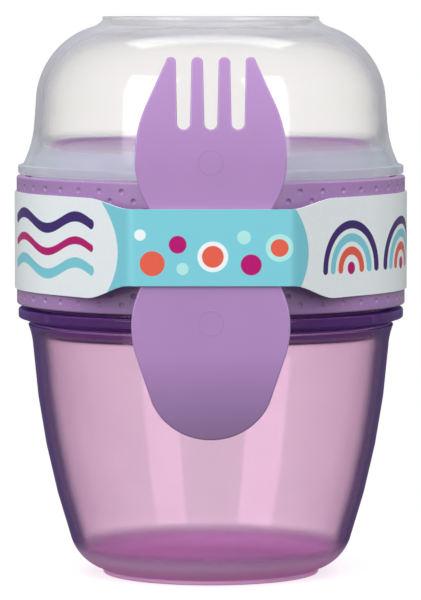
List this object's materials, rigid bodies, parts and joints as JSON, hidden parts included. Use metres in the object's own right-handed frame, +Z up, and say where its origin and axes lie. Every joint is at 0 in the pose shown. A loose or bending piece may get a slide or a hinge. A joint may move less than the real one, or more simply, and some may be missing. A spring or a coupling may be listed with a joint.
{
  "type": "snack container",
  "caption": "Stacked snack container: a clear domed cup and a tinted base cup screw into a dimpled twist collar that carries a clip-on spork under a card sleeve.",
  "frame": {"origin": "centre of the base cup's foot ring, on the plane that the container stands on", "axes": "+Z up along the axis of the cups, -Y towards the spork, +X to the right seen from the spork's side"},
  "size_m": [0.1022, 0.1093, 0.1453],
  "materials": {
    "tinted_plastic": "violet-tinted translucent polypropylene, smooth",
    "clear_plastic": "natural clear polypropylene, slightly milky, smooth",
    "collar_plastic": "opaque lilac polypropylene, fine satin",
    "spork_plastic": "opaque lilac polypropylene, fine satin",
    "seal_silicone": "translucent silicone, matt",
    "printed_card": "coated paperboard with a plain printed design"
  },
  "bodies": {
    "base_cup": {"base_cup": "tinted_plastic"},
    "base_seal": {"base_seal": "seal_silicone"},
    "collar": {"twist_collar": "collar_plastic", "lower_plate": "collar_plastic"},
    "top_seal": {"top_seal": "seal_silicone"},
    "top_cup": {"top_cup": "clear_plastic"},
    "spork": {"spork": "spork_plastic"},
    "sleeve": {"card_sleeve": "printed_card"}
  },
  "joints": [
    {"name": "collar_rise", "type": "slide", "parent": "base_cup", "child": "base_seal", "axis": [0, 0, 1], "range_m": [0, 0.0212]},
    {"name": "collar_turn", "type": "hinge", "parent": "base_seal", "child": "collar", "pos_m": [0, 0, 0.086], "axis": [0, 0, 1], "range_deg": [0, 540]},
    {"name": "top_cup_turn", "type": "hinge", "parent": "collar", "child": "top_seal", "pos_m": [0, 0, 0.089], "axis": [0, 0, 1], "range_deg": [0, 540]},
    {"name": "top_cup_rise", "type": "slide", "parent": "top_seal", "child": "top_cup", "axis": [0, 0, 1], "range_m": [0, 0.0212]},
    {"name": "spork_slide", "type": "slide", "parent": "collar", "child": "spork", "axis": [0, 0, 1], "range_m": [0, 0.009]},
    {"name": "sleeve_slide", "type": "slide", "parent": "collar", "child": "sleeve", "axis": [0, 0, 1], "range_m": [0, 0.08]}
  ],
  "couplings": [
    {"joint": "collar_rise", "follows": "collar_turn", "m_per_rad": 0.0022282},
    {"joint": "top_cup_rise", "follows": "top_cup_turn", "m_per_rad": 0.0022282}
  ]
}
